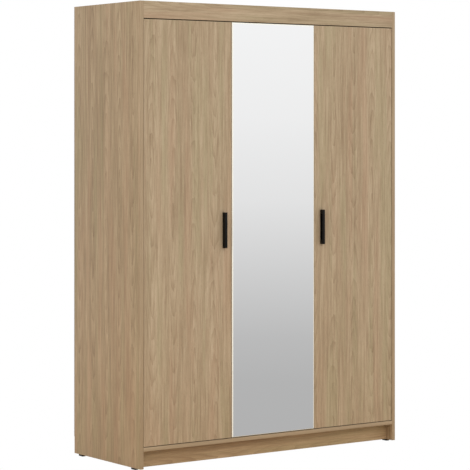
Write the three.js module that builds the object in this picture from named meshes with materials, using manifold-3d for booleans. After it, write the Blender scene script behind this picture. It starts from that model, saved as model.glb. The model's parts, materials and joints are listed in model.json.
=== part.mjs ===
// A three-door wardrobe in 16 mm oak-effect board: inset doors between two side panels, the middle
// door faced with mirror glass, a recessed plinth, and a hanging and a shelved compartment inside.
// Millimetres, +Z up, front towards -Y, origin at the centre of the footprint on the floor.
import * as THREE from 'three';
import { mergeVertices } from 'three/addons/utils/BufferGeometryUtils.js';
import Module from 'manifold-3d';

const wasm = await Module();
wasm.setup();

// Driving dimensions of the carcass
const WIDTH = 1340;
const HEIGHT = 1904;
const SIDE_DEPTH = 517;
const BOARD = 16;
const FIT = 0.3; // clearance where two separate pieces meet
const BACK_THICKNESS = 2.7;
const BACK_MARGIN = 0.3; // edges of the back inside the outline of the carcass
const FASCIA_HEIGHT = 70;
const PLINTH_RECESS = 42;
const PLINTH_CLEARANCE = 8; // under the plinth
const BOTTOM_TOP = 94; // upper face of the bottom panel
const HAT_SHELF_TOP = 1545;
const SHELF_SETBACK = 45;
const NARROW_SHELVES = 4;

// Glides under the side panels and the middle of the plinth
const GLIDE_HEIGHT = 7;
const GLIDE_WIDTH = 16;
const GLIDE_LENGTH = 30;
const GLIDE_CHAMFER = 1.5;
const GLIDE_FRONT_INSET = 40;
const GLIDE_REAR_INSET = 35;

// Doors
const DOOR_RECESS = 1; // door face behind the front edges of the side panels
const DOOR_GAP = 3; // beside and under the doors
const TOP_GAP = 4;
const MIRROR_THICKNESS = 3;
const MIRROR_MARGIN = 0.5; // all round, inside the outline of its door
const MIRROR_FACET = 2.2; // ground off its upright front edges, which pass the right door as they swing
const PARTITION_SETBACK = 8; // partition edge behind the backs of the doors
const BUMPER_RADIUS = 3;
const BUMPER_INSET = 40;

// Handles: a block with a finger pocket open towards the free edge of its door
const HANDLE_LENGTH = 148;
const HANDLE_WIDTH = 12;
const HANDLE_PROJECTION = 18.5;
const HANDLE_EDGE = 32; // from the free edge of the door to the handle
const HANDLE_SCREW_SPACING = 128;
const HANDLE_WALL = 2.5;
const HANDLE_LIP = 4;
const HANDLE_END = 18;
const SCREW_RADIUS = 2;
const SCREW_BORE = 2.4;
const SCREW_HEAD_RADIUS = 4;
const SCREW_HEAD = 2.2;
const SCREW_GRIP = 9; // length of screw inside the handle

// Concealed hinges, in hinge coordinates: u from the hinged edge of the door towards its free edge,
// v from the back of the door into the wardrobe
const CUP_RADIUS = 17.2;
const CUP_WALL = 0.8;
const CUP_DEPTH = 12.1;
const CUP_EDGE = 4; // board left between the cup bore and the door edge
const CUP_U = CUP_EDGE + FIT + CUP_RADIUS;
const FLANGE_RADIUS = 19;
const FLANGE_THICKNESS = 1.2;
const WING = [14, 30]; // the flange's screw wings, above and below the cup
const PIVOT_U = 12;
const PIVOT_V = -8.2;
const PIN_RADIUS = 1.1;
const PIN_HALF_LENGTH = 14;
const EYE_BORE = 1.5;
const EYE_RADIUS = 2.3;
const NECK = 2; // thickness of the bent steel neck
const NECK_BEND = 4;
const NECK_U = 31;
const NECK_RISE = 10; // how far the neck rises straight out of the cup
const ARM_HEIGHT = 12;
const ARM_FRONT = 22;
const ARM_BACK = 66;
const ARM_NEAR = 4; // arm body from the face that it is fixed to
const ARM_FAR = 14;
const PLATE_THICKNESS = 2.2;
const PLATE_HALF_HEIGHT = 24;
const HINGE_INSET = 100; // outer hinges from the ends of the door

// Hanging rail
const RAIL_WIDTH = 15;
const RAIL_HEIGHT = 30;
const RAIL_WALL = 1.1;
const RAIL_DROP = 62; // centre of the rail below the hat shelf
const SOCKET_BASE = 2.5;
const SOCKET_DEPTH = 14;
const SOCKET_RIM = 2.5;
const SOCKET_FLANGE = [24, 58];

// Places worked out from them
const REAR_FROM_FRONT = SIDE_DEPTH + FIT + BACK_THICKNESS;
const FRONT = (HANDLE_PROJECTION - DOOR_RECESS - REAR_FROM_FRONT) / 2; // front edges of the sides
const SIDE_BACK = FRONT + SIDE_DEPTH;
const LEFT_INNER = -WIDTH / 2 + BOARD;
const RIGHT_INNER = WIDTH / 2 - BOARD;
const DOOR_FACE = FRONT + DOOR_RECESS;
const DOOR_BACK = DOOR_FACE + BOARD;
const DOOR_BOTTOM = BOTTOM_TOP + DOOR_GAP;
const DOOR_TOP = HEIGHT - FASCIA_HEIGHT - TOP_GAP;
const DOOR_MIDDLE = (DOOR_BOTTOM + DOOR_TOP) / 2;
const DOOR_WIDTH = (RIGHT_INNER - LEFT_INNER - 4 * DOOR_GAP) / 3;
const DOOR_LEFTS = [0, 1, 2].map((i) => LEFT_INNER + DOOR_GAP + i * (DOOR_WIDTH + DOOR_GAP));
const PARTITION_X = DOOR_LEFTS[2] - DOOR_GAP / 2;
const PARTITION_LEFT = PARTITION_X - BOARD / 2;
const PARTITION_RIGHT = PARTITION_X + BOARD / 2;
const PARTITION_FRONT = DOOR_BACK + PARTITION_SETBACK;
const BOTTOM_UNDER = BOTTOM_TOP - BOARD;
const TOP_UNDER = HEIGHT - BOARD;
const SHELF_FRONT = FRONT + SHELF_SETBACK;
const RAIL_Z = HAT_SHELF_TOP - BOARD - RAIL_DROP;
const RAIL_Y = FRONT + SIDE_DEPTH / 2;
const HANDLE_REACH = HANDLE_EDGE + HANDLE_WIDTH / 2;
const HANDLE_SCREW_HEIGHTS = [-1, 1].map((side) => DOOR_MIDDLE + side * HANDLE_SCREW_SPACING / 2);
const HINGE_HEIGHTS = {
  top: DOOR_TOP - HINGE_INSET,
  middle: DOOR_MIDDLE,
  bottom: DOOR_BOTTOM + HINGE_INSET,
};

// Each door has its hinged edge, the way u runs along X, and the place in u of the carcass face that
// carries its hinge arms: the side panels for the outer doors, the partition for the middle one
const DOORS = {
  left_door: { index: 0, edge: DOOR_LEFTS[0], way: 1, face: -DOOR_GAP },
  mirror_door: { index: 1, edge: DOOR_LEFTS[1] + DOOR_WIDTH, way: -1, face: (BOARD - DOOR_GAP) / 2 },
  right_door: { index: 2, edge: DOOR_LEFTS[2] + DOOR_WIDTH, way: -1, face: -DOOR_GAP },
};

const MATERIALS = {
  oak: new THREE.MeshStandardMaterial({ color: 0xac9270, roughness: 0.6, metalness: 0 }),
  hardboard: new THREE.MeshStandardMaterial({ color: 0xb7a489, roughness: 0.75, metalness: 0 }),
  mirror: new THREE.MeshStandardMaterial({ color: 0xe6e8ea, roughness: 0.02, metalness: 1 }),
  black: new THREE.MeshStandardMaterial({ color: 0x16140f, roughness: 0.5, metalness: 0 }),
  steel: new THREE.MeshStandardMaterial({ color: 0xb8babd, roughness: 0.3, metalness: 1 }),
  zinc: new THREE.MeshStandardMaterial({ color: 0x9fa2a6, roughness: 0.4, metalness: 1 }),
  rubber: new THREE.MeshStandardMaterial({ color: 0xd8d8d4, roughness: 0.7, metalness: 0 }),
};

const wardrobe = new THREE.Group();

// Geometry helpers

function add(name, material, geometry) {
  const mesh = new THREE.Mesh(geometry, MATERIALS[material]);
  mesh.name = name;
  wardrobe.add(mesh);
}

function block([x0, x1], [y0, y1], [z0, z1]) {
  const geometry = new THREE.BoxGeometry(x1 - x0, y1 - y0, z1 - z0);
  return geometry.translate((x0 + x1) / 2, (y0 + y1) / 2, (z0 + z1) / 2);
}

// A cylinder from its start towards +Y, or towards +Z where upright
function rod(radius, length, [x, y, z], sides = 12, upright = false) {
  const geometry = new THREE.CylinderGeometry(radius, radius, length, sides).translate(0, length / 2, 0);
  if (upright) geometry.rotateX(Math.PI / 2);
  return geometry.translate(x, y, z);
}

// An outline of [x, y] points raised from z0 to z1
function prism(points, [z0, z1], holes = []) {
  const shape = new THREE.Shape(points.map(([x, y]) => new THREE.Vector2(x, y)));
  for (const hole of holes) {
    shape.holes.push(new THREE.Path(hole.map(([x, y]) => new THREE.Vector2(x, y))));
  }
  const geometry = new THREE.ExtrudeGeometry(shape, { depth: z1 - z0, bevelEnabled: false });
  return geometry.translate(0, 0, z0);
}

function solid(geometry) {
  const bare = geometry.clone();
  bare.deleteAttribute('normal');
  bare.deleteAttribute('uv');
  const merged = mergeVertices(bare, 1e-4);
  return new wasm.Manifold(new wasm.Mesh({
    numProp: 3,
    vertProperties: new Float32Array(merged.attributes.position.array),
    triVerts: new Uint32Array(merged.index.array),
  }));
}

function geometryOf(manifold) {
  const mesh = manifold.getMesh();
  const geometry = new THREE.BufferGeometry();
  geometry.setAttribute('position', new THREE.BufferAttribute(mesh.vertProperties, 3));
  geometry.setIndex(new THREE.BufferAttribute(mesh.triVerts, 1));
  return geometry;
}

function join(geometries) {
  return geometryOf(geometries.map(solid).reduce((whole, piece) => whole.add(piece)));
}

function cut(geometry, cutters) {
  return geometryOf(cutters.map(solid).reduce((whole, piece) => whole.subtract(piece), solid(geometry)));
}

// Rounds the corners of a path of [x, y] points and thickens it into a closed outline
function bentStrip(path, thickness, radius) {
  const curve = new THREE.CurvePath();
  const points = path.map(([x, y]) => new THREE.Vector2(x, y));
  let from = points[0];
  for (let i = 1; i < points.length - 1; i += 1) {
    const before = points[i].clone().lerp(points[i - 1], radius / points[i].distanceTo(points[i - 1]));
    const after = points[i].clone().lerp(points[i + 1], radius / points[i].distanceTo(points[i + 1]));
    curve.add(new THREE.LineCurve(from, before));
    curve.add(new THREE.QuadraticBezierCurve(before, points[i], after));
    from = after;
  }
  curve.add(new THREE.LineCurve(from, points[points.length - 1]));
  const line = curve.getPoints(4).filter((p, i, all) => i === 0 || p.distanceTo(all[i - 1]) > 1e-3);
  const side = (sign) => line.map((p, i) => {
    const ahead = line[Math.min(i + 1, line.length - 1)];
    const behind = line[Math.max(i - 1, 0)];
    const along = ahead.clone().sub(behind).normalize();
    return [p.x - sign * along.y * thickness / 2, p.y + sign * along.x * thickness / 2];
  });
  return [...side(1), ...side(-1).reverse()];
}

// Carcass

function carcass() {
  const full = [FRONT, SIDE_BACK];
  const between = [LEFT_INNER + FIT, RIGHT_INNER - FIT];
  const upright = [GLIDE_HEIGHT, HEIGHT];
  const inside = [BOTTOM_TOP + FIT, TOP_UNDER - FIT];
  const below = [PLINTH_CLEARANCE, BOTTOM_UNDER - FIT];
  const plinthFront = FRONT + PLINTH_RECESS;
  const supportDepth = [plinthFront + BOARD + FIT, SIDE_BACK - BOARD - FIT];
  add('left_side_panel', 'oak', block([-WIDTH / 2, LEFT_INNER], full, upright));
  add('right_side_panel', 'oak', block([RIGHT_INNER, WIDTH / 2], full, upright));
  const partition = [PARTITION_LEFT, PARTITION_RIGHT];
  add('partition_panel', 'oak', block(partition, [PARTITION_FRONT, SIDE_BACK], inside));
  add('top_panel', 'oak', block(between, [FRONT + BOARD + FIT, SIDE_BACK], [TOP_UNDER, HEIGHT]));
  add('bottom_panel', 'oak', block(between, full, [BOTTOM_UNDER, BOTTOM_TOP]));
  add('top_fascia', 'oak', block(between, [FRONT, FRONT + BOARD], [HEIGHT - FASCIA_HEIGHT, HEIGHT]));
  add('plinth_board', 'oak', block(between, [plinthFront, plinthFront + BOARD], below));
  add('rear_plinth_board', 'oak', block(between, [SIDE_BACK - BOARD, SIDE_BACK], below));
  add('centre_support_board', 'oak', block(partition, supportDepth, below));
}

function shelves() {
  const depth = [SHELF_FRONT, SIDE_BACK - FIT];
  const hatShelf = [LEFT_INNER + FIT, PARTITION_LEFT - FIT];
  add('hat_shelf', 'oak', block(hatShelf, depth, [HAT_SHELF_TOP - BOARD, HAT_SHELF_TOP]));
  const pitch = (TOP_UNDER - BOTTOM_TOP) / (NARROW_SHELVES + 1);
  for (let i = 1; i <= NARROW_SHELVES; i += 1) {
    const top = BOTTOM_TOP + i * pitch;
    add(`narrow_shelf_${i}`, 'oak', block([PARTITION_RIGHT + 1, RIGHT_INNER - 1], depth, [top - BOARD, top]));
  }
}

function backPanels() {
  const y = [SIDE_BACK + FIT, SIDE_BACK + FIT + BACK_THICKNESS];
  const z = [BOTTOM_UNDER + BACK_MARGIN, HEIGHT - BACK_MARGIN];
  const edge = WIDTH / 2 - BACK_MARGIN;
  add('back_panel_left', 'hardboard', block([-edge, PARTITION_X - FIT], y, z));
  add('back_panel_right', 'hardboard', block([PARTITION_X + FIT, edge], y, z));
}

function glides() {
  const half = GLIDE_WIDTH / 2;
  const foot = half - GLIDE_CHAMFER;
  const front = FRONT + GLIDE_FRONT_INSET + GLIDE_LENGTH / 2;
  const rear = SIDE_BACK - GLIDE_REAR_INSET - GLIDE_LENGTH / 2;
  const side = (WIDTH - BOARD) / 2;
  const glide = (x, y, height) => {
    const chamfered = [[foot, 0], [half, GLIDE_CHAMFER], [half, height]];
    const outline = [...chamfered, ...chamfered.map(([across, up]) => [-across, up]).reverse()];
    const along = [-GLIDE_LENGTH / 2, GLIDE_LENGTH / 2];
    return prism(outline, along).rotateX(Math.PI / 2).translate(x, y, 0);
  };
  add('front_left_glide', 'black', glide(-side, front, GLIDE_HEIGHT - FIT));
  add('front_right_glide', 'black', glide(side, front, GLIDE_HEIGHT - FIT));
  add('rear_left_glide', 'black', glide(-side, rear, GLIDE_HEIGHT - FIT));
  add('rear_right_glide', 'black', glide(side, rear, GLIDE_HEIGHT - FIT));
  add('centre_front_glide', 'black', glide(PARTITION_X, front + 2 * GLIDE_LENGTH, PLINTH_CLEARANCE - FIT));
  add('centre_rear_glide', 'black', glide(PARTITION_X, rear - 2 * GLIDE_LENGTH, PLINTH_CLEARANCE - FIT));
}

// The hanging rail is an oval tube held between two closed-bottomed sockets

function oval(width, height, steps = 6) {
  const radius = width / 2;
  const straight = (height - width) / 2;
  const top = Array.from({ length: steps + 1 }, (_, i) => {
    const angle = Math.PI * i / steps;
    return [radius * Math.cos(angle), straight + radius * Math.sin(angle)];
  });
  return [...top, ...top.map(([x, y]) => [-x, -y])];
}

// An upright outline in Y and Z, raised along X
function alongX(outline, span, holes) {
  const geometry = prism(outline, span, holes).rotateX(Math.PI / 2).rotateZ(Math.PI / 2);
  return geometry.translate(0, RAIL_Y, RAIL_Z);
}

function hangingRail() {
  const ends = [LEFT_INNER + FIT, PARTITION_LEFT - FIT];
  const play = SOCKET_BASE + 2 * FIT;
  const tube = oval(RAIL_WIDTH, RAIL_HEIGHT);
  const bore = oval(RAIL_WIDTH - 2 * RAIL_WALL, RAIL_HEIGHT - 2 * RAIL_WALL);
  add('hanging_rail', 'steel', alongX(tube, [ends[0] + play, ends[1] - play], [bore]));
  const rim = oval(RAIL_WIDTH + 2 * SOCKET_RIM, RAIL_HEIGHT + 2 * SOCKET_RIM);
  const seat = oval(RAIL_WIDTH + 2 * FIT, RAIL_HEIGHT + 2 * FIT);
  const flange = oval(...SOCKET_FLANGE);
  for (const [name, from, way] of [['left', ends[0], 1], ['right', ends[1], -1]]) {
    const span = (start, end) => [from + way * start, from + way * end].sort((a, b) => a - b);
    const body = join([alongX(rim, span(0, SOCKET_DEPTH)), alongX(flange, span(0, SOCKET_BASE))]);
    add(`rail_socket_${name}`, 'zinc', cut(body, [alongX(seat, span(SOCKET_BASE, SOCKET_DEPTH + 1))]));
  }
}

// Concealed hinges

const hingePoint = ({ edge, way }, [u, v]) => [edge + way * u, DOOR_BACK + v];

function hingeBlock(door, [u0, u1], [v0, v1], zs) {
  const [xa] = hingePoint(door, [u0, 0]);
  const [xb] = hingePoint(door, [u1, 0]);
  return block([Math.min(xa, xb), Math.max(xa, xb)], [DOOR_BACK + v0, DOOR_BACK + v1], zs);
}

function hingeCup(door, z) {
  const flange = [FIT, FIT + FLANGE_THICKNESS];
  const inner = CUP_RADIUS - CUP_WALL;
  const profile = [
    [0, -CUP_DEPTH], [CUP_RADIUS, -CUP_DEPTH], [CUP_RADIUS, flange[0]], [FLANGE_RADIUS, flange[0]],
    [FLANGE_RADIUS, flange[1]], [inner, flange[1]], [inner, CUP_WALL - CUP_DEPTH], [0, CUP_WALL - CUP_DEPTH],
  ].map(([radius, height]) => new THREE.Vector2(radius, height));
  const [x, y] = hingePoint(door, [CUP_U, 0]);
  const cup = new THREE.LatheGeometry(profile, 20).translate(x, y, z);
  const pinStart = [...hingePoint(door, [PIVOT_U, PIVOT_V]), z - PIN_HALF_LENGTH];
  const pin = rod(PIN_RADIUS, 2 * PIN_HALF_LENGTH, pinStart, 8, true);
  const wingU = [CUP_U - 1, CUP_U + CUP_RADIUS];
  const wings = [hingeBlock(door, wingU, flange, [z + WING[0], z + WING[1]]),
    hingeBlock(door, wingU, flange, [z - WING[1], z - WING[0]])];
  const mouth = rod(inner, 4, [x, y, z], 20);
  return join([cup, pin, geometryOf(wings.map(solid).reduce((a, b) => a.add(b)).subtract(solid(mouth)))]);
}

function hingeArm(door, z) {
  const { face } = door;
  const half = ARM_HEIGHT / 2;
  const middle = face + (ARM_NEAR + ARM_FAR) / 2;
  const path = [
    [PIVOT_U, PIVOT_V], [NECK_U, PIVOT_V], [NECK_U, NECK_RISE], [middle, ARM_FRONT], [middle, ARM_FRONT + 8],
  ];
  const neck = prism(bentStrip(path, NECK, NECK_BEND).map((p) => hingePoint(door, p)), [z - half, z + half]);
  const pivot = hingePoint(door, [PIVOT_U, PIVOT_V]);
  const eye = rod(EYE_RADIUS, ARM_HEIGHT, [...pivot, z - half], 12, true);
  const body = hingeBlock(door, [face + ARM_NEAR, face + ARM_FAR], [ARM_FRONT + 2, ARM_BACK], [z - 7, z + 7]);
  const riserU = [face + FIT, face + ARM_NEAR + 1];
  const riser = hingeBlock(door, riserU, [ARM_FRONT + 6, ARM_BACK - 4], [z - 8, z + 8]);
  const plate = hingeBlock(
    door,
    [face + FIT, face + FIT + PLATE_THICKNESS],
    [ARM_FRONT + 18, ARM_FRONT + 36],
    [z - PLATE_HALF_HEIGHT, z + PLATE_HALF_HEIGHT],
  );
  const bore = rod(EYE_BORE, ARM_HEIGHT + 2, [...pivot, z - half - 1], 12, true);
  return cut(join([neck, eye, body, riser, plate]), [bore]);
}

// Doors

function doorPanel(door, handleX) {
  const left = DOOR_LEFTS[door.index];
  const [cupX] = hingePoint(door, [CUP_U, 0]);
  const cupStart = DOOR_BACK - CUP_DEPTH - FIT;
  const cutters = Object.values(HINGE_HEIGHTS).map((z) => (
    rod(CUP_RADIUS + FIT, CUP_DEPTH + FIT + 1, [cupX, cupStart, z], 20)
  ));
  if (handleX !== undefined) {
    for (const z of HANDLE_SCREW_HEIGHTS) {
      cutters.push(rod(SCREW_BORE, BOARD + 2, [handleX, DOOR_FACE - 1, z], 8));
    }
  }
  return cut(block([left, left + DOOR_WIDTH], [DOOR_FACE, DOOR_BACK], [DOOR_BOTTOM, DOOR_TOP]), cutters);
}

// open is 1 where the pocket opens towards +X and -1 where it opens towards -X
function handleBlock(x, open) {
  const half = HANDLE_WIDTH / 2;
  const front = DOOR_FACE - HANDLE_PROJECTION;
  const back = DOOR_FACE - FIT;
  const ends = [DOOR_MIDDLE - HANDLE_LENGTH / 2, DOOR_MIDDLE + HANDLE_LENGTH / 2];
  const mouth = [x - open * (half - HANDLE_WALL), x + open * (half + 1)].sort((a, b) => a - b);
  const pocketEnds = [ends[0] + HANDLE_END, ends[1] - HANDLE_END];
  const pocket = block(mouth, [front + HANDLE_LIP, back - HANDLE_WALL], pocketEnds);
  const bores = HANDLE_SCREW_HEIGHTS.map((z) => (
    rod(SCREW_BORE, SCREW_GRIP + 2, [x, back - SCREW_GRIP - 1, z], 8)
  ));
  return cut(block([x - half, x + half], [front, back], ends), [pocket, ...bores]);
}

function handle(side, x, open) {
  add(`${side}_door_handle`, 'black', handleBlock(x, open));
  ['lower', 'upper'].forEach((level, i) => {
    const z = HANDLE_SCREW_HEIGHTS[i];
    const head = DOOR_BACK + FIT;
    const shank = head - (DOOR_FACE - FIT - SCREW_GRIP);
    add(`${side}_handle_screw_${level}`, 'zinc', join([
      rod(SCREW_RADIUS, shank + 1, [x, head - shank, z], 8),
      rod(SCREW_HEAD_RADIUS, SCREW_HEAD, [x, head, z]),
    ]));
  });
}

function doors() {
  const leftHandle = DOOR_LEFTS[0] + DOOR_WIDTH - HANDLE_REACH;
  const rightHandle = DOOR_LEFTS[2] + HANDLE_REACH;
  const handles = { left_door: leftHandle, right_door: rightHandle };
  for (const [name, door] of Object.entries(DOORS)) {
    add(`${name}_panel`, 'oak', doorPanel(door, handles[name]));
    for (const [level, z] of Object.entries(HINGE_HEIGHTS)) {
      add(`${name}_hinge_cup_${level}`, 'steel', hingeCup(door, z));
      add(`${name}_hinge_arm_${level}`, 'steel', hingeArm(door, z));
    }
  }
  mirror();
  handle('left', leftHandle, 1);
  handle('right', rightHandle, -1);
}

function mirror() {
  const left = DOOR_LEFTS[1] + MIRROR_MARGIN;
  const right = DOOR_LEFTS[1] + DOOR_WIDTH - MIRROR_MARGIN;
  const rear = DOOR_FACE - FIT;
  const front = rear - MIRROR_THICKNESS;
  const outline = [
    [left, rear],
    [left, front + MIRROR_FACET],
    [left + MIRROR_FACET, front],
    [right - MIRROR_FACET, front],
    [right, front + MIRROR_FACET],
    [right, rear],
  ];
  add('mirror_glass', 'mirror', prism(outline, [DOOR_BOTTOM + MIRROR_MARGIN, DOOR_TOP - MIRROR_MARGIN]));
}

// Soft stops on the partition's front edge that the right door closes against
function bumpers() {
  const x = PARTITION_RIGHT - BUMPER_RADIUS - FIT;
  const length = PARTITION_SETBACK - 2 * FIT;
  const heights = { top: DOOR_TOP - BUMPER_INSET, middle: DOOR_MIDDLE, bottom: DOOR_BOTTOM + BUMPER_INSET };
  for (const [level, z] of Object.entries(heights)) {
    add(`door_bumper_${level}`, 'rubber', rod(BUMPER_RADIUS, length, [x, DOOR_BACK + FIT, z]));
  }
}

carcass();
shelves();
backPanels();
glides();
hangingRail();
doors();
bumpers();

export default wardrobe;
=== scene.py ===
import json
from math import pi, radians

import bpy
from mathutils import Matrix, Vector


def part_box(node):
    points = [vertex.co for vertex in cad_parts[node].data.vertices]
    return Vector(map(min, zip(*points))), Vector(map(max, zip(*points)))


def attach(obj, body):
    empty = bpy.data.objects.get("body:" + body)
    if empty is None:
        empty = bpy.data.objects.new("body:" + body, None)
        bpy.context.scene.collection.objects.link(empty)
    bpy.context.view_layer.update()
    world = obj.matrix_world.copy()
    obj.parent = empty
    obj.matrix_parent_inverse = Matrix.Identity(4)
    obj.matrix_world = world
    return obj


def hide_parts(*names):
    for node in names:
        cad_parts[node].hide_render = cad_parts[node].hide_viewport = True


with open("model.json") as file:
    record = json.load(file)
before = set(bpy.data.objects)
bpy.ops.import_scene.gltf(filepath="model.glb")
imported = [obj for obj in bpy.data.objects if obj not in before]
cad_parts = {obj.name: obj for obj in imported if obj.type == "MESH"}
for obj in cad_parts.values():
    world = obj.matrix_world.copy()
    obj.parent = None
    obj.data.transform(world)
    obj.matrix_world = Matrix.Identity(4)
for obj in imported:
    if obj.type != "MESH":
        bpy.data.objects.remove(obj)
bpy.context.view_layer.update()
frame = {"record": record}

MM = 0.001
BODIES = frame["record"]["behaviour"]["bodies"]
BODY_OF = {node: body for body, nodes in BODIES.items() for node in nodes}
AXIS = {"X": 0, "Y": 1, "Z": 2}


# ---------------------------------------------------------------- shader maths and finishes

class Wire:
    """An output socket of a finish. Sums and products of wires add their own Math nodes."""

    def __init__(self, finish, socket):
        self.finish = finish
        self.socket = socket

    def other(self, name):
        """Another output of the same node."""
        return Wire(self.finish, self.socket.node.outputs[name])

    def maths(self, operation, *values):
        sockets = dict(enumerate(values))
        return self.finish.node("ShaderNodeMath", {"operation": operation}, sockets)

    def __add__(self, value):
        return self.maths("ADD", self, value)

    def __sub__(self, value):
        return self.maths("SUBTRACT", self, value)

    def __rsub__(self, value):
        return self.maths("SUBTRACT", value, self)

    def __mul__(self, value):
        return self.maths("MULTIPLY", self, value)

    def __truediv__(self, value):
        return self.maths("DIVIDE", self, value)

    def __pow__(self, value):
        return self.maths("POWER", self, value)

    __radd__ = __add__
    __rmul__ = __mul__

    def clamped(self):
        return self.maths("MINIMUM", self.maths("MAXIMUM", self, 0.0), 1.0)

    def step(self, low, high):
        """0 below low, 1 above high, and a smooth rise between them."""
        sockets = {"Value": self, "From Min": low, "From Max": high}
        return self.finish.node("ShaderNodeMapRange", {"interpolation_type": "SMOOTHSTEP"}, sockets)


class Finish:
    """A material or a world whose nodes are made in code."""

    def __init__(self, owner):
        owner.use_nodes = True
        self.owner = owner
        self.tree = owner.node_tree
        self.tree.nodes.clear()

    def node(self, kind, settings=None, sockets=None, output=0):
        """Adds a node: its settings come first, then numbers, colours or wires for its sockets."""
        made = self.tree.nodes.new(kind)
        for name, value in (settings or {}).items():
            if name == "stops":
                self.set_stops(made.color_ramp, value)
            else:
                setattr(made, name, value)
        for name, value in (sockets or {}).items():
            if isinstance(value, Wire):
                self.tree.links.new(value.socket, made.inputs[name])
            else:
                made.inputs[name].default_value = value
        return Wire(self, made.outputs[output]) if made.outputs else made

    @staticmethod
    def set_stops(ramp, stops):
        for index, (place, colour) in enumerate(stops):
            stop = ramp.elements[index] if index < 2 else ramp.elements.new(place)
            stop.position = place
            stop.color = (*colour, 1)

    def place(self):
        return self.node("ShaderNodeTexCoord", output="Object")

    def axes(self):
        split = self.node("ShaderNodeSeparateXYZ", sockets={0: self.place()})
        return {name: split.other(name) for name in "XYZ"}

    def point(self, x, y, z):
        return self.node("ShaderNodeCombineXYZ", sockets={0: x, 1: y, 2: z})

    def noise(self, point, scale=1.0, detail=2.0, roughness=0.5):
        """Noise from about -0.5 to 0.5."""
        sockets = {"Vector": point, "Scale": scale, "Detail": detail, "Roughness": roughness}
        return self.node("ShaderNodeTexNoise", sockets=sockets) - 0.5

    def mix(self, first, second, share, blend="MIX"):
        settings = {"data_type": "RGBA", "blend_type": blend}
        return self.node("ShaderNodeMix", settings, {0: share, 6: first, 7: second}, output=2)

    def bump(self, height, strength, distance):
        sockets = {"Strength": strength, "Distance": distance, "Height": height}
        return self.node("ShaderNodeBump", sockets=sockets)

    def surface(self, **sockets):
        names = {name.replace("_", " "): value for name, value in sockets.items()}
        shader = self.node("ShaderNodeBsdfPrincipled", sockets=names)
        self.node("ShaderNodeOutputMaterial", sockets={"Surface": shader})
        return self.owner


def new_finish(name):
    return Finish(bpy.data.materials.new(name))


def srgb(red, green, blue):
    """A colour named in the 0 to 255 steps of a paint chart, as the shader's linear light."""
    steps = [value / 255 for value in (red, green, blue)]
    return tuple(v / 12.92 if v <= 0.04045 else ((v + 0.055) / 1.055) ** 2.4 for v in steps)


def opaque(colour):
    return (*colour, 1.0)


# Light oak decor. The pattern lies in the object's own space, stretched along the grain.
OAK_DARK = srgb(124, 100, 73)
OAK_BODY = srgb(171, 149, 120)
OAK_LIGHT = srgb(206, 185, 156)
OAK_TONES = [(0.0, OAK_DARK), (0.5, OAK_BODY), (1.0, OAK_LIGHT)]
OAK_PINK = srgb(181, 146, 119)
OAK_GREEN = srgb(161, 152, 116)
OAK_PORE = srgb(96, 74, 52)
FLITCH = 0.105       # width of one leaf of the decor, with one flame figure in its middle
RING = 0.0058        # spacing of the growth rings
FLAME_SLOPE = 0.055  # how fast the cut runs out of a ring along the grain


def oak_foil(name, along, across, depth, painted_shade_tint=(1, 1, 1), contrast=1.0):
    finish = new_finish(name)
    axes = finish.axes()
    a, w, d = axes[along], axes[across], axes[depth]

    def fibre(along_scale, across_scale, detail=2.0, shift=0.0):
        point = finish.point(w * across_scale + shift, d * across_scale, a * along_scale)
        return finish.noise(point, detail=detail)

    sway = fibre(1.3, 5.0) * 0.034
    place = (w + sway) / FLITCH + 0.37
    leaf = place.maths("FLOOR", place)
    luck = finish.node("ShaderNodeTexWhiteNoise", {"noise_dimensions": "1D"}, {"W": leaf})
    aside = (place - leaf - 0.5) * FLITCH
    run = a * FLAME_SLOPE + luck * 0.3
    heart = run.maths("PINGPONG", run, 0.055) + 0.007
    wander = fibre(2.4, 15.0, detail=3.0, shift=3.1) * 0.016 + fibre(9.0, 60.0, shift=6.6) * 0.005
    radius = (aside * aside + heart * heart) ** 0.5 + wander
    ring = (radius / RING).maths("FRACT", radius / RING)
    figure = 1 - aside.maths("ABSOLUTE", aside).step(0.006, 0.04) * 0.8
    late = (ring * ring * ring - 0.25) * figure

    bands = fibre(0.7, 13.0, detail=1.0, shift=7.7)
    streaks = fibre(3.2, 92.0, detail=3.0, shift=1.9)
    lines = fibre(8.0, 230.0, detail=3.0, shift=4.4)
    hairs = fibre(26.0, 1250.0, detail=2.0, shift=8.2)
    grain = bands * 0.3 + streaks * 0.72 + lines * 0.62 + hairs * 0.5 - late * 0.23
    tone = 0.5 + grain * contrast
    colour = finish.node("ShaderNodeValToRGB", {"stops": OAK_TONES}, {0: tone})
    warmth = fibre(1.4, 26.0, detail=2.0, shift=11.3)
    colour = finish.mix(colour, opaque(OAK_PINK), warmth.step(0.0, 0.2) * 0.3)
    colour = finish.mix(colour, opaque(OAK_GREEN), (0 - warmth).step(0.0, 0.2) * 0.32)
    pores = fibre(52.0, 1500.0, detail=1.0, shift=5.5).step(0.12, 0.2) * (0.75 - ring * 0.5)
    colour = finish.mix(colour, opaque(OAK_PORE), pores * 0.55)
    # A tint other than white here is painted shade: a darker, warmer copy of the decor for faces
    # that catch less light.
    colour = finish.mix(colour, opaque(painted_shade_tint), 1.0, "MULTIPLY")
    relief = hairs * 0.5 - pores
    return finish.surface(
        Base_Color=colour,
        Roughness=0.55 + hairs * 0.12 + pores * 0.1,
        Specular_IOR_Level=0.25,
        Normal=finish.bump(relief, 0.2, 0.0003),
    )


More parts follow.
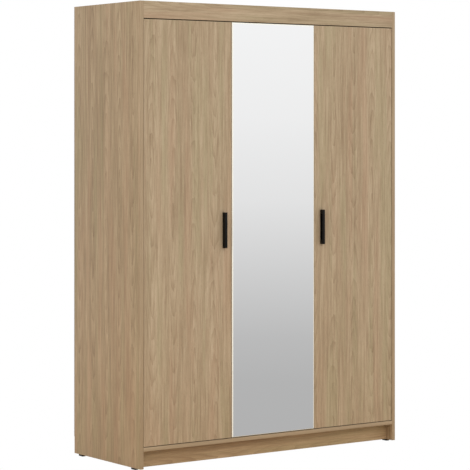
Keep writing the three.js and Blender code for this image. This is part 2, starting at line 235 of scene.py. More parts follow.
def oak_band(name, along, tone=0.46):
    """Edge banding: the same decor on a thin plastic tape, with plain straight grain."""
    finish = new_finish(name)
    axes = finish.axes()
    stretched = [axes[axis] * (3.0 if axis == along else 420.0) for axis in "XYZ"]
    fine = [axes[axis] * (24.0 if axis == along else 1400.0) for axis in "XYZ"]
    lines = finish.noise(finish.point(*stretched), detail=3.0)
    hairs = finish.noise(finish.point(*fine), detail=1.0)
    shade = tone + lines * 0.6 + hairs * 0.3
    colour = finish.node("ShaderNodeValToRGB", {"stops": OAK_TONES}, {0: shade})
    return finish.surface(
        Base_Color=colour,
        Roughness=0.5 + hairs * 0.1,
        Specular_IOR_Level=0.2,
        Normal=finish.bump(hairs, 0.08, 0.0002),
    )


def chipboard():
    """Raw board edges: pressed chips of pale and brown wood."""
    finish = new_finish("raw_chipboard")
    place = finish.place()
    cells = {"Vector": place, "Scale": 620.0}
    chips = finish.node("ShaderNodeTexVoronoi", sockets=cells, output="Color")
    chip = finish.node("ShaderNodeSeparateColor", sockets={0: chips})
    grit = finish.noise(place, scale=1900.0, detail=2.0)
    stops = [(0.0, srgb(120, 92, 62)), (0.45, srgb(176, 146, 108)), (1.0, srgb(206, 182, 146))]
    colour = finish.node("ShaderNodeValToRGB", {"stops": stops}, {0: chip + grit * 0.4})
    return finish.surface(
        Base_Color=colour,
        Roughness=0.88 + grit * 0.1,
        Normal=finish.bump(chip + grit, 0.5, 0.0006),
    )


def hardboard(name, dark, light):
    """Rough pressed fibre, for the rear face of the back panels and for their darker sawn edges."""
    finish = new_finish(name)
    place = finish.place()
    cloud = finish.noise(place, scale=9.0, detail=4.0)
    fluff = finish.noise(place, scale=420.0, detail=4.0, roughness=0.7)
    shade = (0.5 + cloud * 0.16 + fluff * 0.8).clamped()
    colour = finish.mix(opaque(dark), opaque(light), shade)
    return finish.surface(
        Base_Color=colour,
        Roughness=0.8 + fluff * 0.2,
        Normal=finish.bump(fluff, 0.35, 0.0005),
    )


def mirror_silver():
    """Silvering seen through clear glass, with a little dust on it."""
    finish = new_finish("mirror_silver")
    dust = finish.noise(finish.place(), scale=55.0, detail=5.0)
    return finish.surface(
        Base_Color=opaque((0.95, 0.952, 0.955)),
        Metallic=1.0,
        Roughness=dust.step(0.1, 0.4) * 0.02 + 0.006,
    )


def glass_edge():
    finish = new_finish("ground_glass_edge")
    ground = finish.noise(finish.place(), scale=900.0, detail=2.0)
    colour = finish.mix(opaque(srgb(248, 246, 232)), opaque(srgb(255, 254, 246)), ground + 0.5)
    return finish.surface(
        Base_Color=colour,
        Roughness=0.22 + ground * 0.2,
        IOR=1.52,
        Normal=finish.bump(ground, 0.1, 0.0002),
    )


def mirror_backing():
    finish = new_finish("mirror_backing_paint")
    mottle = finish.noise(finish.place(), scale=60.0, detail=3.0)
    colour = finish.mix(opaque(srgb(92, 96, 100)), opaque(srgb(118, 122, 126)), mottle + 0.5)
    return finish.surface(Base_Color=colour, Roughness=0.6 + mottle * 0.1)


def black_plastic():
    """Satin black moulding with a fine grain and a slight rub on it."""
    finish = new_finish("black_plastic")
    place = finish.place()
    grain = finish.noise(place, scale=2600.0, detail=1.0)
    rub = finish.noise(place, scale=70.0, detail=3.0)
    colour = finish.mix(opaque(srgb(8, 7, 5)), opaque(srgb(17, 15, 12)), rub + 0.5)
    return finish.surface(
        Base_Color=colour,
        Roughness=0.42 + rub * 0.14,
        Specular_IOR_Level=0.16,
        Normal=finish.bump(grain, 0.12, 0.0001),
    )


def plated_steel(name, dull, bright, roughness, brushing):
    """Plated metal, with brushing as how much the fine lines along it show."""
    finish = new_finish(name)
    axes = finish.axes()
    drawn_out = finish.point(axes["X"] * 60, axes["Y"] * 3000, axes["Z"] * 3000)
    lines = finish.noise(drawn_out, detail=2.0)
    spots = finish.noise(finish.place(), scale=160.0, detail=3.0)
    colour = finish.mix(opaque(dull), opaque(bright), spots + 0.5)
    return finish.surface(
        Base_Color=colour,
        Metallic=1.0,
        Roughness=roughness + lines * brushing + spots * 0.08,
        Normal=finish.bump(lines, brushing * 0.4, 0.0001),
    )


def clear_rubber():
    finish = new_finish("clear_rubber")
    cloud = finish.noise(finish.place(), scale=400.0, detail=2.0)
    colour = finish.mix(opaque(srgb(205, 205, 198)), opaque(srgb(226, 226, 220)), cloud + 0.5)
    return finish.surface(Base_Color=colour, Roughness=0.55 + cloud * 0.1)


def cap_plastic():
    """The oak-coloured plastic of the cam covers."""
    finish = new_finish("cap_plastic")
    cloud = finish.noise(finish.place(), scale=900.0, detail=2.0)
    colour = finish.mix(opaque(srgb(168, 146, 116)), opaque(srgb(184, 162, 132)), cloud + 0.5)
    return finish.surface(Base_Color=colour, Roughness=0.4 + cloud * 0.1)


FOIL_DOOR = oak_foil("oak_foil_door", "Z", "X", "Y")
# Painted shade: the side foil is tinted darker and warmer than the door foil, for side faces that
# catch less light; the partition and centre support share it.
FOIL_SIDE_PAINTED_SHADE = oak_foil("oak_foil_side_painted_shade", "Z", "Y", "X", (0.99, 0.945, 0.87), 1.15)
FOIL_FASCIA = oak_foil("oak_foil_fascia", "X", "Z", "Y")
# Painted shade: the plinth foil is tinted darker and warmer for the shaded recess under the bottom
# panel.
FOIL_PLINTH_PAINTED_SHADE = oak_foil("oak_foil_plinth_painted_shade", "X", "Z", "Y", (1.04, 0.95, 0.83))
FOIL_SHELF = oak_foil("oak_foil_shelf", "X", "Y", "Z")
BAND_UPRIGHT = oak_band("oak_band_upright", "Z")
BAND_LEVEL = oak_band("oak_band_level", "X")
# Painted light: the door side edges are banded near the lightest oak tone, so the vertical gaps
# beside the doors look lit.
BAND_DOOR_SIDE_PAINTED_LIGHT = oak_band("oak_band_door_side_painted_light", "Z", 0.8)
# Painted shade: the door top and bottom edges are banded near the darkest oak tone, so the gaps
# above and below the doors look dark.
BAND_DOOR_END_PAINTED_SHADE = oak_band("oak_band_door_end_painted_shade", "X", 0.05)
CHIPBOARD = chipboard()
HARDBOARD_REAR = hardboard("hardboard_rear", srgb(128, 98, 66), srgb(184, 154, 114))
HARDBOARD_EDGE = hardboard("hardboard_edge", srgb(78, 56, 38), srgb(112, 84, 58))
SILVER = mirror_silver()
GLASS_EDGE = glass_edge()
BACKING = mirror_backing()
BLACK = black_plastic()
NICKEL = plated_steel("nickel_plate", srgb(208, 208, 206), srgb(232, 232, 230), 0.36, 0.12)
ZINC = plated_steel("zinc_plate", srgb(158, 162, 166), srgb(190, 194, 198), 0.36, 0.1)
CHROME = plated_steel("rail_plate", srgb(206, 207, 209), srgb(226, 227, 229), 0.16, 0.06)
RUBBER = clear_rubber()
CAP = cap_plastic()


# ---------------------------------------------------------------- modelling tools

def select_only(*pieces):
    bpy.ops.object.select_all(action="DESELECT")
    for piece in pieces:
        piece.select_set(True)
    bpy.context.view_layer.objects.active = pieces[0]


def settle(piece):
    """Puts a piece's place, turn and size into its mesh."""
    select_only(piece)
    bpy.ops.object.transform_apply(location=True, rotation=True, scale=True)
    return piece


def block(name, low, high):
    low, high = Vector(low), Vector(high)
    bpy.ops.object.select_all(action="DESELECT")
    bpy.ops.mesh.primitive_cube_add(size=1, location=(low + high) / 2)
    piece = bpy.context.object
    piece.name = name
    piece.scale = high - low
    return settle(piece)


def disc(name, radius, start, end, sides=32):
    """A cylinder between two points."""
    start, end = Vector(start), Vector(end)
    bpy.ops.object.select_all(action="DESELECT")
    bpy.ops.mesh.primitive_cylinder_add(
        vertices=sides, radius=radius, depth=(end - start).length, location=(start + end) / 2
    )
    piece = bpy.context.object
    piece.name = name
    piece.rotation_euler = (end - start).to_track_quat("Z", "Y").to_euler()
    return settle(piece)


def modify(piece, kind, **settings):
    select_only(piece)
    modifier = piece.modifiers.new(kind.lower(), kind)
    for name, value in settings.items():
        setattr(modifier, name, value)
    bpy.ops.object.modifier_apply(modifier=modifier.name)
    return piece


def round_edges(piece, width, segments=2, angle=30):
    limit = {"limit_method": "ANGLE", "angle_limit": radians(angle)}
    modify(piece, "BEVEL", width=width, segments=segments, **limit)
    return smooth(piece)


def smooth(piece, angle=40):
    select_only(piece)
    bpy.ops.object.shade_smooth_by_angle(angle=radians(angle))
    return piece


def edit(piece, chosen):
    """Opens a piece for editing with the faces that chosen(face) picks selected."""
    select_only(piece)
    bpy.ops.object.mode_set(mode="EDIT")
    bpy.ops.mesh.select_mode(type="FACE")
    bpy.ops.mesh.select_all(action="DESELECT")
    bpy.ops.object.mode_set(mode="OBJECT")
    for face in piece.data.polygons:
        face.select = chosen(face)
    bpy.ops.object.mode_set(mode="EDIT")


def close():
    bpy.ops.object.mode_set(mode="OBJECT")


def pull(vector):
    """Extrudes what is selected along a vector."""
    bpy.ops.mesh.extrude_region_move(TRANSFORM_OT_translate={"value": vector})


def facing(vector, tolerance=0.98):
    direction = Vector(vector).normalized()
    return lambda face: face.normal.dot(direction) > tolerance


def carve(piece, cutters):
    """Cuts other pieces out of a piece, and takes them away."""
    if len(cutters) > 1:
        select_only(*cutters)
        bpy.ops.object.join()
    modify(piece, "BOOLEAN", object=cutters[0], operation="DIFFERENCE", solver="EXACT")
    bpy.data.objects.remove(cutters[0])
    return piece


def join(name, pieces):
    select_only(*pieces)
    if len(pieces) > 1:
        bpy.ops.object.join()
    pieces[0].name = name
    return pieces[0]


def copy(piece, offset=(0, 0, 0), mirrored=False):
    """A copy with its own mesh, mirrored across X = 0 before it is moved where asked."""
    twin = piece.copy()
    twin.data = piece.data.copy()
    bpy.context.scene.collection.objects.link(twin)
    if mirrored:
        twin.scale = (-1, 1, 1)
    twin.location = offset
    settle(twin)
    if mirrored:
        edit(twin, lambda face: True)
        bpy.ops.mesh.normals_make_consistent(inside=False)
        close()
    return twin


def paint(piece, *finishes, by=None):
    """Gives a piece its finishes. by(face) names the place of a face's finish in the list."""
    piece.data.materials.clear()
    for finish in finishes:
        piece.data.materials.append(finish)
    for face in piece.data.polygons:
        face.material_index = by(face) if by else 0
    return piece


def hand_over(piece, slot, *nodes, body=None):
    """Says which body a piece rides on and the CAD nodes that it stands for; its material slot is
    not used.
    """
    if nodes:
        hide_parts(*nodes)
    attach(piece, body or BODY_OF[nodes[0]])
    return piece


# ---------------------------------------------------------------- boards

BAND = 0.8 * MM      # thickness of the edge banding
ARRIS = 0.45 * MM    # rounding of a board's edges
BORE_SIDES = 40
NAIL_HEAD = 0.5 * MM  # how far the nails of the back stand out of it


def side_of(name):
    """The axis number and direction of a side such as '-Y'."""
    return AXIS[name[1]], 1 if name[0] == "+" else -1


def board(node, foil, banded, band, raw=()):
    """A foiled board in a CAD board's place, with some sides banded and some of bare chips."""
    low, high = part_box(node)
    piece = block(node + "_foiled", low, high)
    for name in banded:
        axis, way = side_of(name)
        plane = (high if way > 0 else low).copy()
        plane[axis] -= way * BAND
        normal = [0, 0, 0]
        normal[axis] = 1
        edit(piece, lambda face: True)
        bpy.ops.mesh.bisect(plane_co=plane, plane_no=normal)
        close()

    def kind(face):
        for name in banded:
            axis, way = side_of(name)
            edge = (high if way > 0 else low)[axis]
            if abs(face.center[axis] - edge) < 0.6 * BAND:
                return 1
        for name in raw:
            axis, way = side_of(name)
            if face.normal[axis] * way > 0.9:
                return 2
        return 0

    paint(piece, foil, band, CHIPBOARD, by=kind)
    return piece


def plain_board(node, foil, banded, band, raw=()):
    piece = board(node, foil, banded, band, raw)
    round_edges(piece, ARRIS)
    return hand_over(piece, "oak_board", node)


def carcass_boards():
    for node in ("left_side_panel", "right_side_panel"):
        plain_board(node, FOIL_SIDE_PAINTED_SHADE, ["-Y", "+Z"], BAND_UPRIGHT, ["+Y", "-Z"])
    plain_board("partition_panel", FOIL_SIDE_PAINTED_SHADE, ["-Y"], BAND_UPRIGHT, ["+Y"])
    plain_board("top_panel", FOIL_SHELF, [], BAND_LEVEL, ["+Y"])
    plain_board("bottom_panel", FOIL_SHELF, ["-Y"], BAND_LEVEL, ["+Y"])
    plain_board("top_fascia", FOIL_FASCIA, ["-Z", "+Z"], BAND_LEVEL)
    plain_board("plinth_board", FOIL_PLINTH_PAINTED_SHADE, ["-Z"], BAND_LEVEL)
    plain_board("rear_plinth_board", FOIL_PLINTH_PAINTED_SHADE, [], BAND_LEVEL, ["-Z"])
    plain_board("centre_support_board", FOIL_SIDE_PAINTED_SHADE, [], BAND_LEVEL, ["-Z"])
    plain_board("hat_shelf", FOIL_SHELF, ["-Y"], BAND_LEVEL, ["+Y"])
    for number in range(1, 5):
        plain_board(f"narrow_shelf_{number}", FOIL_SHELF, ["-Y"], BAND_LEVEL, ["+Y"])


def back_panels():
    for side in ("left", "right"):
        node = f"back_panel_{side}"
        low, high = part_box(node)
        high.y -= NAIL_HEAD
        piece = block(f"{node}_foiled", low, high)
        paint(piece, HARDBOARD_EDGE, HARDBOARD_REAR, FOIL_DOOR, by=lambda face: (
            1 if face.normal.y > 0.9 else 2 if face.normal.y < -0.9 else 0
        ))
        round_edges(piece, 0.3 * MM, segments=1)
        hand_over(piece, "hardboard", node)


# ---------------------------------------------------------------- doors

DOORS = {
    "left_door": {"way": 1, "handle": "left_door_handle"},
    "mirror_door": {"way": -1, "handle": None},
    "right_door": {"way": -1, "handle": "right_door_handle"},
}
LEVELS = ("bottom", "middle", "top")


def cup_centres(door):
    """Where a door's three hinge cups are, from their CAD boxes."""
    centres = []
    for level in LEVELS:
        low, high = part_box(f"{door}_hinge_cup_{level}")
        centres.append((low + high) / 2)
    return centres


def door_panels():
    """Door boards with blind bores for the hinge cups and through bores for the handle screws."""
    cup_bore, cup_depth = 17.5 * MM, 12.4 * MM
    screw_bore, overshoot = 2.4 * MM, 10 * MM
    skin = 0.05 * MM
    chips, painted_shade_band = 2, 3
    for door, facts in DOORS.items():
        node = f"{door}_panel"
        # All four edges first take the very light band, painted light for the gaps beside each
        # door; the ends are changed below.
        piece = board(node, FOIL_DOOR, ["-X", "+X", "-Z", "+Z"], BAND_DOOR_SIDE_PAINTED_LIGHT)
        piece.data.materials.append(BAND_DOOR_END_PAINTED_SHADE)
        low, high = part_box(node)
        cutters = []
        for centre in cup_centres(door):
            start = (centre.x, high.y - cup_depth, centre.z)
            end = (centre.x, high.y + cup_depth, centre.z)
            cutters.append(disc("bore", cup_bore, start, end, BORE_SIDES))
        if facts["handle"]:
            for level in ("lower", "upper"):
                side = facts["handle"].split("_")[0]
                screw_low, screw_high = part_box(f"{side}_handle_screw_{level}")
                x, z = (screw_low.x + screw_high.x) / 2, (screw_low.z + screw_high.z) / 2
                start, end = (x, low.y - overshoot, z), (x, high.y + overshoot, z)
                cutters.append(disc("bore", screw_bore, start, end, 16))
        carve(piece, cutters)
        for face in piece.data.polygons:
            inside = [low[n] + skin < face.center[n] < high[n] - skin for n in range(3)]
            # Top and bottom end faces take the very dark band, painted shade in the gaps above and
            # below the door.
            if abs(face.normal.z) > 0.9 and not inside[2]:
                face.material_index = painted_shade_band
            if all(inside):
                face.material_index = chips
        round_edges(piece, ARRIS)
        hand_over(piece, "oak_board", node)


def mirror_glass():
    """Float glass with a facet ground all round its front, and a narrow frosted line inside it."""
    facet, frosted = 2.2 * MM, 2.2 * MM
    low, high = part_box("mirror_glass")
    piece = block("mirror_pane", low, high)
    edit(piece, facing((0, -1, 0)))
    bpy.ops.mesh.bevel(offset=facet, offset_type="OFFSET", segments=1, affect="EDGES")
    close()
    edit(piece, facing((0, -1, 0)))
    bpy.ops.mesh.inset(thickness=frosted)
    close()
    whole = max(face.area for face in piece.data.polygons)

    def kind(face):
        low_strip = face.center.z < low.z + facet + frosted
        if face.normal.y < -0.99 and (face.area > 0.9 * whole or low_strip):
            return 0
        return 2 if face.normal.y > 0.99 else 1

    paint(piece, SILVER, GLASS_EDGE, BACKING, by=kind)
    hand_over(piece, "mirror_glass", "mirror_glass")


def handles():
    """Square bar pulls with a finger pocket towards the free edge of the door."""
    wall, lip, end = 2.5 * MM, 4 * MM, 18 * MM
    for side, way in (("left", 1), ("right", -1)):
        node = f"{side}_door_handle"
        low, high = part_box(node)
        piece = block(f"{side}_pull", low, high)
        inner = low.x + wall if way > 0 else low.x - wall
        outer = high.x + wall if way > 0 else high.x - wall
        near, far = (inner, low.y + lip, low.z + end), (outer, high.y - wall, high.z - end)
        pocket = block("pocket", near, far)
        round_edges(pocket, 1.6 * MM, segments=4)
        carve(piece, [pocket])
        round_edges(piece, 0.7 * MM, segments=3)
        paint(piece, BLACK)
        hand_over(piece, "black_plastic", node)
        for level in ("lower", "upper"):
            handle_screw(side, level)


def cross_recess(head_centre, axis, size, depth):
    """Two crossed blades to cut a screw's cross recess, where axis is the way the head faces."""
    way = Vector(axis)
    across = [Vector((1, 0, 0)), Vector((0, 1, 0)), Vector((0, 0, 1))]
    flat = [v for v in across if abs(v.dot(way)) < 0.5]
    blades = []
    for long, short in (flat, flat[::-1]):
        reach = long * size + short * size * 0.24 + way * depth
        reach = Vector([abs(v) for v in reach])
        blades.append(block("blade", Vector(head_centre) - reach, Vector(head_centre) + reach))
    return blades


def screw_head(name, centre, axis, radius, height):
    """A pan head with a cross recess, standing on centre and facing along axis."""
    way = Vector(axis)
    top = Vector(centre) + way * height
    piece = disc(name, radius, centre, top, 28)
    round_edges(piece, height * 0.45, segments=4)
    carve(piece, cross_recess(top, axis, radius * 0.55, height * 0.55))
    return smooth(piece)


def handle_screw(side, level):
    node = f"{side}_handle_screw_{level}"
    low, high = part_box(node)
    x, z = (low.x + high.x) / 2, (low.z + high.z) / 2
    head = 2.2 * MM
    top = screw_head("head", (x, high.y - head, z), (0, 1, 0), 4 * MM, head)
    shank = disc("shank", 1.9 * MM, (x, low.y, z), (x, high.y - head * 0.8, z), 20)
    round_edges(shank, 0.4 * MM)
    piece = paint(join(f"{side}_machine_screw_{level}", [top, shank]), ZINC)
    hand_over(piece, "zinc", node)


# ---------------------------------------------------------------- concealed hinges
# They are modelled once at the hinged edge of a door, with X from that edge towards the free edge,
# Y from the back of the door into the wardrobe and Z from the middle of the hinge.

CUP_X = 21.5 * MM
PIVOT = Vector((12 * MM, -8.2 * MM, 0))
CUP_RADIUS = 17.2 * MM
CUP_DEPTH = 12.1 * MM
CUP_WALL = 0.8 * MM
COLLAR_RADIUS = 19 * MM
FLANGE = (0.3 * MM, 1.5 * MM)     # under side and upper side of the flange on the door
WING = (15.5 * MM, 30 * MM)       # reach of its wings above and below the cup
PIN_RADIUS = 1.1 * MM
PIN_HALF = Vector((0, 0, 14 * MM))


def hinge_cup():
    """The pressed cup in the door, with its flange, its screws and the pin of the arm."""
    floor, rim = FLANGE
    cup = disc("cup", COLLAR_RADIUS, (CUP_X, floor, 0), (CUP_X, rim, 0), 48)
    edit(cup, facing((0, -1, 0)))
    bpy.ops.mesh.inset(thickness=COLLAR_RADIUS - CUP_RADIUS)
    pull((0, -CUP_DEPTH - floor, 0))
    close()
    edit(cup, facing((0, 1, 0)))
    bpy.ops.mesh.inset(thickness=COLLAR_RADIUS - CUP_RADIUS + CUP_WALL)
    pull((0, -(CUP_DEPTH - CUP_WALL) - rim, 0))
    close()
    round_edges(cup, 0.35 * MM, segments=2)
    pieces = [cup]
    for way in (1, -1):
        low, high = sorted(way * reach for reach in WING)
        wing = block("wing", (CUP_X - 1 * MM, floor, low), (CUP_X + 17 * MM, rim, high))
        round_edges(wing, 0.5 * MM, segments=2)
        pieces.append(wing)
        spot = (CUP_X + 8 * MM, rim, way * 24 * MM)
        pieces.append(screw_head("head", spot, (0, 1, 0), 3.6 * MM, 1.6 * MM))
    pin = disc("pin", PIN_RADIUS, PIVOT - PIN_HALF, PIVOT + PIN_HALF, 24)
    round_edges(pin, 0.3 * MM)
    pieces.append(pin)
    return paint(join("cup_pattern", pieces), NICKEL)


def strip(name, path, thickness, height):
    """A strip of metal bent along a path of X and Y, made by pulling its end face along."""
    points = [Vector((x, y, 0)) for x, y in path]
    lead, bend = 0.2 * MM, 0.05 * MM
    heading = (points[1] - points[0]).normalized()
    here = points[0] + heading * lead
    bpy.ops.object.select_all(action="DESELECT")
    bpy.ops.mesh.primitive_cube_add(size=1, location=points[0] + heading * lead / 2)
    piece = bpy.context.object
    piece.name = name
    piece.scale = (lead, thickness, height)
    piece.rotation_euler.z = Vector((1, 0)).angle_signed(heading.xy) * -1
    settle(piece)
    edit(piece, facing(heading))
    for index in range(1, len(points)):
        pull(points[index] - here)
        here = points[index]
        if index + 1 < len(points):
            ahead = (points[index + 1] - here).normalized()
            turn = heading.xy.angle_signed(ahead.xy)
            bpy.ops.transform.rotate(value=turn / 2, orient_axis="Z", center_override=here)
            pull(ahead * bend)
            here = here + ahead * bend
            bpy.ops.transform.rotate(value=turn / 2, orient_axis="Z", center_override=here)
            heading = ahead
    close()
    return piece


def rounded_path(corners, radius, steps=5):
    """A path with each of its corners turned by a short curve."""
    points = [Vector(corners[0])]
    for before, corner, after in zip(corners, corners[1:], corners[2:]):
        before, corner, after = Vector(before), Vector(corner), Vector(after)
        start = corner + (before - corner).normalized() * radius
        end = corner + (after - corner).normalized() * radius
        for step in range(steps + 1):
            share = step / steps
            rest = 1 - share
            points.append(start * rest ** 2 + corner * 2 * share * rest + end * share ** 2)
    points.append(Vector(corners[-1]))
    return [tuple(point) for point in points]


def hinge_arm(face):
    """The arm and its mounting plate on a carcass face, which lies at X = face."""
    height = 12 * MM
    near, far, front, back = face + 4 * MM, face + 14 * MM, 22 * MM, 66 * MM
    middle, knee, channel = (near + far) / 2, 31 * MM, 3.2 * MM
    seat, plate_top = face + 0.3 * MM, face + 2.5 * MM
    corners = [
        (PIVOT.x, PIVOT.y), (knee, PIVOT.y), (knee, 10 * MM),
        (middle, front), (middle, front + 8 * MM),
    ]
    neck = strip("neck", rounded_path(corners, 4 * MM), 2 * MM, height)
    round_edges(neck, 0.3 * MM)
    half = Vector((0, 0, height / 2))
    eye = disc("eye", 2.3 * MM, PIVOT - half, PIVOT + half, 28)
    round_edges(eye, 0.25 * MM)
    body = block("arm", (near, front + 2 * MM, -7 * MM), (far, back, 7 * MM))
    edit(body, facing((1, 0, 0)))
    bpy.ops.mesh.inset(thickness=1.6 * MM)
    pull((-channel, 0, 0))
    close()
    round_edges(body, 0.6 * MM, segments=3)
    riser = block("riser", (seat, front + 6 * MM, -8 * MM), (near + MM, back - 4 * MM, 8 * MM))
    round_edges(riser, 0.6 * MM, segments=2)
    plate = block("plate", (seat, front + 18 * MM, -24 * MM), (plate_top, front + 36 * MM, 24 * MM))
    modify(plate, "BEVEL", width=1 * MM, segments=3, limit_method="ANGLE")
    pieces = [neck, eye, body, riser, plate]
    inner = far - channel
    for along in (front + 10 * MM, front + 34 * MM):
        pieces.append(screw_head("head", (inner, along, 0), (1, 0, 0), 3.4 * MM, 2.4 * MM))
    for way in (1, -1):
        spot = (plate_top, front + 27 * MM, way * 16 * MM)
        pieces.append(screw_head("head", spot, (1, 0, 0), 4 * MM, 1.6 * MM))
    return smooth(paint(join("arm_pattern", pieces), NICKEL), 35)


def hinges():
    cup = hinge_cup()
    arms = {}
    for door, facts in DOORS.items():
        low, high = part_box(f"{door}_panel")
        edge = low.x if facts["way"] > 0 else high.x
        # the arms of the mirrored door are on the partition, behind it, the others on a side panel
        reach = 6.5 * MM if door == "mirror_door" else -3 * MM
        if reach not in arms:
            arms[reach] = hinge_arm(reach)
        mirrored = facts["way"] < 0
        for level, centre in zip(LEVELS, cup_centres(door)):
            spot = (edge, high.y, centre.z)
            for pattern, kind in ((cup, "cup"), (arms[reach], "arm")):
                piece = copy(pattern, spot, mirrored)
                piece.name = f"{door}_pressed_{kind}_{level}"
                smooth(piece, 35)
                hand_over(piece, "hinge_steel", f"{door}_hinge_{kind}_{level}")
    for pattern in (cup, *arms.values()):
        bpy.data.objects.remove(pattern)


# ---------------------------------------------------------------- hanging rail

def oval_bar(name, width, height, start, end):
    """An oval bar along X: a round one with its upper and lower halves drawn apart."""
    piece = disc(name, width / 2, start, end, 48)
    lift = (height - width) / 2
    for way in (1, -1):
        select_only(piece)
        bpy.ops.object.mode_set(mode="EDIT")
        bpy.ops.mesh.select_mode(type="VERT")
        bpy.ops.mesh.select_all(action="DESELECT")
        bpy.ops.object.mode_set(mode="OBJECT")
        for vertex in piece.data.vertices:
            vertex.select = (vertex.co.z - start[2]) * way > 0
        bpy.ops.object.mode_set(mode="EDIT")
        bpy.ops.transform.translate(value=(0, 0, way * lift))
        close()
    return piece


def hanging_rail():
    low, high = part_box("hanging_rail")
    y, z = (low.y + high.y) / 2, (low.z + high.z) / 2
    wall = 1.1 * MM
    piece = oval_bar("oval_rail", 15 * MM, 30 * MM, (low.x, y, z), (high.x, y, z))
    for way in (1, -1):
        edit(piece, facing((way, 0, 0)))
        bpy.ops.mesh.inset(thickness=wall)
        pull((-way * 40 * MM, 0, 0))
        close()
    round_edges(piece, 0.3 * MM)
    paint(piece, CHROME)
    hand_over(piece, "rail_steel", "hanging_rail")
    for side, way in (("left", 1), ("right", -1)):
        rail_socket(side, way, y, z)


def rail_socket(side, way, y, z):
    node = f"rail_socket_{side}"
    low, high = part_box(node)
    wall = low.x if way > 0 else high.x
    base, depth = 2.5 * MM, 14 * MM
    flange = oval_bar("flange", 24 * MM, 58 * MM, (wall, y, z), (wall + way * base, y, z))
    round_edges(flange, 0.8 * MM, segments=3)
    rim = oval_bar("rim", 20 * MM, 35 * MM, (wall, y, z), (wall + way * depth, y, z))
    start, end = (wall + way * base, y, z), (wall + way * 2 * depth, y, z)
    carve(rim, [oval_bar("seat", 15.6 * MM, 30.6 * MM, start, end)])
    round_edges(rim, 0.5 * MM)
    pieces = [rim, flange]
    for up in (-23 * MM, 23 * MM):
        spot = (wall + way * base, y, z + up)
        pieces.append(screw_head("head", spot, (way, 0, 0), 3.4 * MM, 1.6 * MM))
    piece = paint(join(f"{side}_rail_cup", pieces), ZINC)
    hand_over(piece, "zinc", node)


# ---------------------------------------------------------------- small fittings

def glides():
    """Moulded pads, each with the nail that holds it sunk in its sole."""
    corners = [f"{end}_{side}" for end in ("front", "rear") for side in ("left", "right")]
    for place in corners + ["centre_front", "centre_rear"]:
        node = f"{place}_glide"
        low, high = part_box(node)
        piece = block(f"{place}_pad", low, high)
        modify(piece, "BEVEL", width=0.8 * MM, segments=3, limit_method="ANGLE")
        x, y = (low.x + high.x) / 2, (low.y + high.y) / 2
        carve(piece, [disc("recess", 3.2 * MM, (x, y, low.z - MM), (x, y, low.z + 1.6 * MM), 28)])
        smooth(piece)
        nail = disc("nail", 2.6 * MM, (x, y, low.z + 1.0 * MM), (x, y, low.z + 2.2 * MM), 24)
        round_edges(nail, 0.3 * MM)
        paint(piece, BLACK)
        paint(nail, ZINC)
        piece = join(f"{place}_pad", [piece, nail])
        hand_over(piece, "black_plastic", node)


def bumpers():
    for level in LEVELS:
        node = f"door_bumper_{level}"
        low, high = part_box(node)
        x, z = (low.x + high.x) / 2, (low.z + high.z) / 2
        piece = disc(f"stop_{level}", 3 * MM, (x, high.y, z), (x, low.y, z), 32)
        edit(piece, facing((0, -1, 0)))
        bpy.ops.mesh.inset(thickness=1.2 * MM)
        close()
        round_edges(piece, 0.9 * MM, segments=4)
        paint(piece, RUBBER)
        hand_over(piece, "clear_rubber", node)


def shelf_pins():
    """Four collared pins under each narrow shelf."""
    collar, reach = 3.6 * MM, 8 * MM
    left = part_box("partition_panel")[1].x
    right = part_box("right_side_panel")[0].x
    pins = []
    for number in range(1, 5):
        low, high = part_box(f"narrow_shelf_{number}")
        z = low.z - 2.6 * MM
        for y in (low.y + 40 * MM, high.y - 60 * MM):
            for wall, way in ((left, 1), (right, -1)):
                pin = disc("pin", 2.5 * MM, (wall - way * MM, y, z), (wall + way * reach, y, z), 20)
                round_edges(pin, 0.5 * MM)
                end = (wall + way * 1.2 * MM, y, z - MM)
                ring = disc("ring", collar, (wall, y, z - MM), end, 24)
                round_edges(ring, 0.3 * MM)
                pins += [pin, ring]
    piece = paint(join("shelf_pins", pins), ZINC)
    hand_over(piece, "zinc", body="carcass")


def cam_covers():
    """Press-in covers over the cam fittings under the top, the hat shelf and the bottom."""
    radius, proud, inset = 8.5 * MM, 0.5 * MM, 34 * MM
    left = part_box("left_side_panel")[1].x
    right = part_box("right_side_panel")[0].x
    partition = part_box("partition_panel")[0].x
    covers = []
    for node, end in (("top_panel", right), ("bottom_panel", right), ("hat_shelf", partition)):
        low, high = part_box(node)
        for x in (left + inset, end - inset):
            for y in (high.y - 87 * MM, high.y - 427 * MM):
                cover = disc("cover", radius, (x, y, low.z + proud), (x, y, low.z - proud), 40)
                edit(cover, facing((0, 0, -1)))
                bpy.ops.mesh.inset(thickness=1.6 * MM)
                close()
                round_edges(cover, 0.3 * MM)
                covers.append(cover)
    piece = paint(join("cam_covers", covers), CAP)
    hand_over(piece, "oak_board", body="carcass")


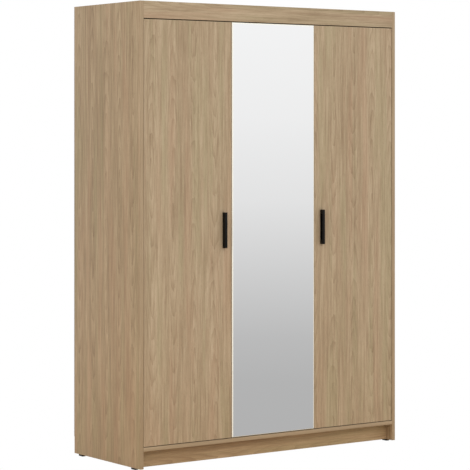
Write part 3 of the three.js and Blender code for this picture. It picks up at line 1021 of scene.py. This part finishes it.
def back_nails():
    """Nails round the back panels and down the joint between them."""
    left_low, left_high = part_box("back_panel_left")
    right_low, right_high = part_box("back_panel_right")
    rear = left_high.y - NAIL_HEAD
    head_radius, bite = 3 * MM, 0.4 * MM
    rows = 11
    spots = []
    edge, joint = 6 * MM, 4 * MM
    columns = (left_low.x + edge, left_high.x - joint, right_low.x + joint, right_high.x - edge)
    for x in columns:
        for row in range(rows):
            share = row / (rows - 1)
            spots.append((x, left_low.z + 25 * MM + share * (left_high.z - left_low.z - 50 * MM)))
    for z in (left_low.z + edge, left_high.z - edge):
        for number in range(1, 9):
            spots.append((left_low.x + number * (right_high.x - left_low.x) / 9 + 8 * MM, z))
    nails = []
    for x, z in spots:
        nail = disc("nail", head_radius, (x, rear - bite, z), (x, rear + NAIL_HEAD, z), 16)
        round_edges(nail, 0.2 * MM, segments=1)
        nails.append(nail)
    piece = paint(join("back_nails", nails), ZINC)
    hand_over(piece, "zinc", body="carcass")


carcass_boards()
back_panels()
door_panels()
mirror_glass()
handles()
hinges()
hanging_rail()
glides()
bumpers()
shelf_pins()
cam_covers()
back_nails()


# ---------------------------------------------------------------- stage, light and camera

def sheet(name, height, near, far, glow=0):
    """A round sheet of floor, one colour near by and another further off, matt or glowing."""
    bpy.ops.object.select_all(action="DESELECT")
    centre = (0, 0, height)
    bpy.ops.mesh.primitive_circle_add(vertices=96, radius=30, fill_type="NGON", location=centre)
    piece = settle(bpy.context.object)
    piece.name = name
    finish = new_finish(name)
    length = {"operation": "LENGTH"}
    away = finish.node("ShaderNodeVectorMath", length, {0: finish.place()}, "Value")
    colour = finish.mix(opaque(near), opaque(far), away.step(0.9, 2.4))
    paint(piece, finish.surface(
        Base_Color=opaque((0, 0, 0)) if glow else colour, Roughness=0.9, Specular_IOR_Level=0.0,
        Emission_Color=colour, Emission_Strength=glow,
    ))
    piece.visible_glossy = False
    return piece


def floor():
    """A white floor to look at, and under it a warm one that gives the soft light from below."""
    seen = sheet("studio_floor", 0, (1, 1, 1), (1, 1, 1), 1.0)
    seen.visible_diffuse = False
    seen.visible_shadow = False
    bounce = sheet("studio_bounce", -MM, (0.74, 0.6, 0.44), (0.72, 0.71, 0.7), 0)
    bounce.visible_camera = False


def studio_world():
    """White all round, with a grey sweep low down in front on the right, for the mirror."""
    world = bpy.data.worlds.new("studio")
    bpy.context.scene.world = world
    finish = Finish(world)
    direction = finish.node("ShaderNodeTexCoord", output="Generated")
    split = finish.node("ShaderNodeSeparateXYZ", sockets={0: direction})
    height = {"Value": split.other("Z"), "From Min": -0.16, "From Max": 0.06}
    sweep = finish.node("ShaderNodeMapRange", sockets=height)
    stops = [
        (0.0, (0.455,) * 3), (0.16, (0.472,) * 3), (0.26, (0.52,) * 3), (0.39, (0.634,) * 3),
        (0.57, (0.8,) * 3), (0.76, (0.892,) * 3), (1.0, (0.945,) * 3),
    ]
    grey = finish.node("ShaderNodeValToRGB", {"stops": stops}, {0: sweep})
    front = (0 - split.other("Y")).step(0.0, 0.4) * split.other("X").step(-0.2, 0.2)
    colour = finish.mix((1, 1, 1, 1), grey, front)
    background = finish.node("ShaderNodeBackground", sockets={"Color": colour, "Strength": 1.0})
    finish.node("ShaderNodeOutputWorld", sockets={"Surface": background})


def soft_light(name, place, target, size, power):
    data = bpy.data.lights.new(name, "AREA")
    data.shape = "RECTANGLE"
    data.size, data.size_y = size
    data.energy = power
    light = bpy.data.objects.new(name, data)
    bpy.context.scene.collection.objects.link(light)
    light.location = place
    light.rotation_euler = (Vector(target) - Vector(place)).to_track_quat("-Z", "Y").to_euler()
    light.visible_glossy = False
    light.visible_camera = False


def camera():
    eye = Vector((-5.0168, -7.0124, 1.3715))
    turn = radians(35.465)
    data = bpy.data.cameras.new("camera")
    data.lens = 152.2
    data.sensor_width = 36
    data.shift_y = -0.2189
    data.clip_end = 100
    piece = bpy.data.objects.new("camera", data)
    bpy.context.scene.collection.objects.link(piece)
    piece.location = eye
    piece.rotation_euler = (pi / 2, 0, -turn)
    bpy.context.scene.camera = piece


floor()
studio_world()
soft_light("key", (-0.7, -4.6, 3.3), (0.1, 0, 0.8), (3.0, 2.0), 44)
camera()
bpy.context.scene.view_settings.view_transform = "Standard"
